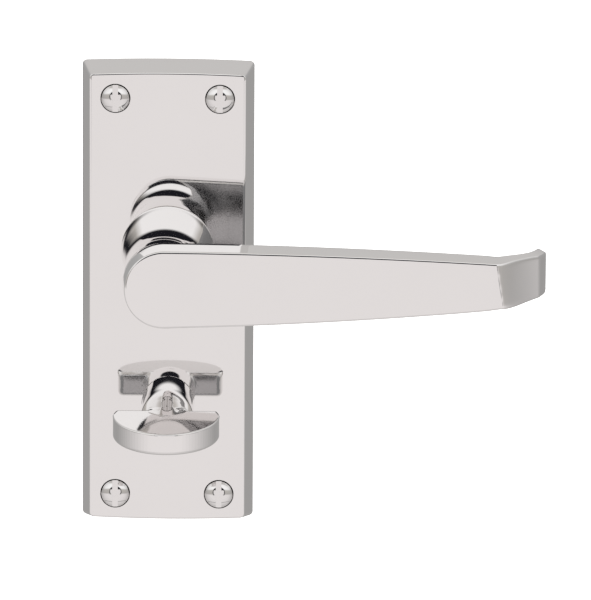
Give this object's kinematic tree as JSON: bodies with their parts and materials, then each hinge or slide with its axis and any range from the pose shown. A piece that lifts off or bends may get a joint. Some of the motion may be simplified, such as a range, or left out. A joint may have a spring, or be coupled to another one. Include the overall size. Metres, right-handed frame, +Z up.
{
  "type": "door lever handle",
  "caption": "Polished lever handle on a short sloped-edge backplate, with a sprung lever and a half-moon thumb-turn that locks it.",
  "frame": {"origin": "on the lever's turning axis, in the plane of the door's face that the backplate rests on", "axes": "+X runs from the lever's axis along the blade to its tip, +Y goes into the door along the spindle, +Z is up along the backplate"},
  "size_m": [0.1139, 0.0989, 0.118],
  "materials": {
    "polished_chrome": "mirror-polished chrome plate on a brass casting",
    "screw_chrome": "polished chrome plate on a slotted wood screw",
    "bar_steel": "bright drawn steel, zinc plated",
    "pressed_steel": "pressed sheet steel, zinc plated",
    "spring_steel": "oiled spring steel",
    "bush_nylon": "moulded natural nylon"
  },
  "bodies": {
    "plate": {"backplate": "polished_chrome", "lever_bush": "bush_nylon", "turn_bush": "bush_nylon", "lever_return_spring": "spring_steel", "detent_spring": "spring_steel", "lock_slide_spring": "spring_steel", "back_cover": "pressed_steel", "fixing_screw_top_left": "screw_chrome", "fixing_screw_top_right": "screw_chrome", "fixing_screw_bottom_left": "screw_chrome", "fixing_screw_bottom_right": "screw_chrome", "cover_screw_1": "bar_steel", "cover_screw_2": "bar_steel", "cover_screw_3": "bar_steel", "cover_screw_4": "bar_steel"},
    "lever": {"lever": "polished_chrome", "spindle": "bar_steel", "drive_plate": "pressed_steel", "thrust_washer": "pressed_steel", "lever_circlip": "spring_steel"},
    "turn": {"turn_knob": "polished_chrome", "turn_cam": "pressed_steel", "turn_circlip": "spring_steel", "turn_tail_bar": "bar_steel"},
    "slide": {"lock_slide": "pressed_steel"}
  },
  "joints": [
    {"name": "lever_press", "type": "hinge", "parent": "plate", "child": "lever", "pos_m": [0, 0, 0], "axis": [0, 1, 0], "range_deg": [0, 45], "stiffness_Nm_per_rad": 0.4, "springref_deg": -45.84, "deforming": ["lever_return_spring"]},
    {"name": "thumb_turn", "type": "hinge", "parent": "plate", "child": "turn", "pos_m": [0, 0, -0.0393], "axis": [0, 1, 0], "range_deg": [0, 90], "deforming": ["detent_spring"]},
    {"name": "lock_slide_lift", "type": "slide", "parent": "plate", "child": "slide", "axis": [0, 0, 1], "range_m": [0, 0.004], "deforming": ["lock_slide_spring"]}
  ],
  "couplings": [
    {"joint": "lock_slide_lift", "follows": "thumb_turn", "m_per_rad": 0.002546}
  ]
}
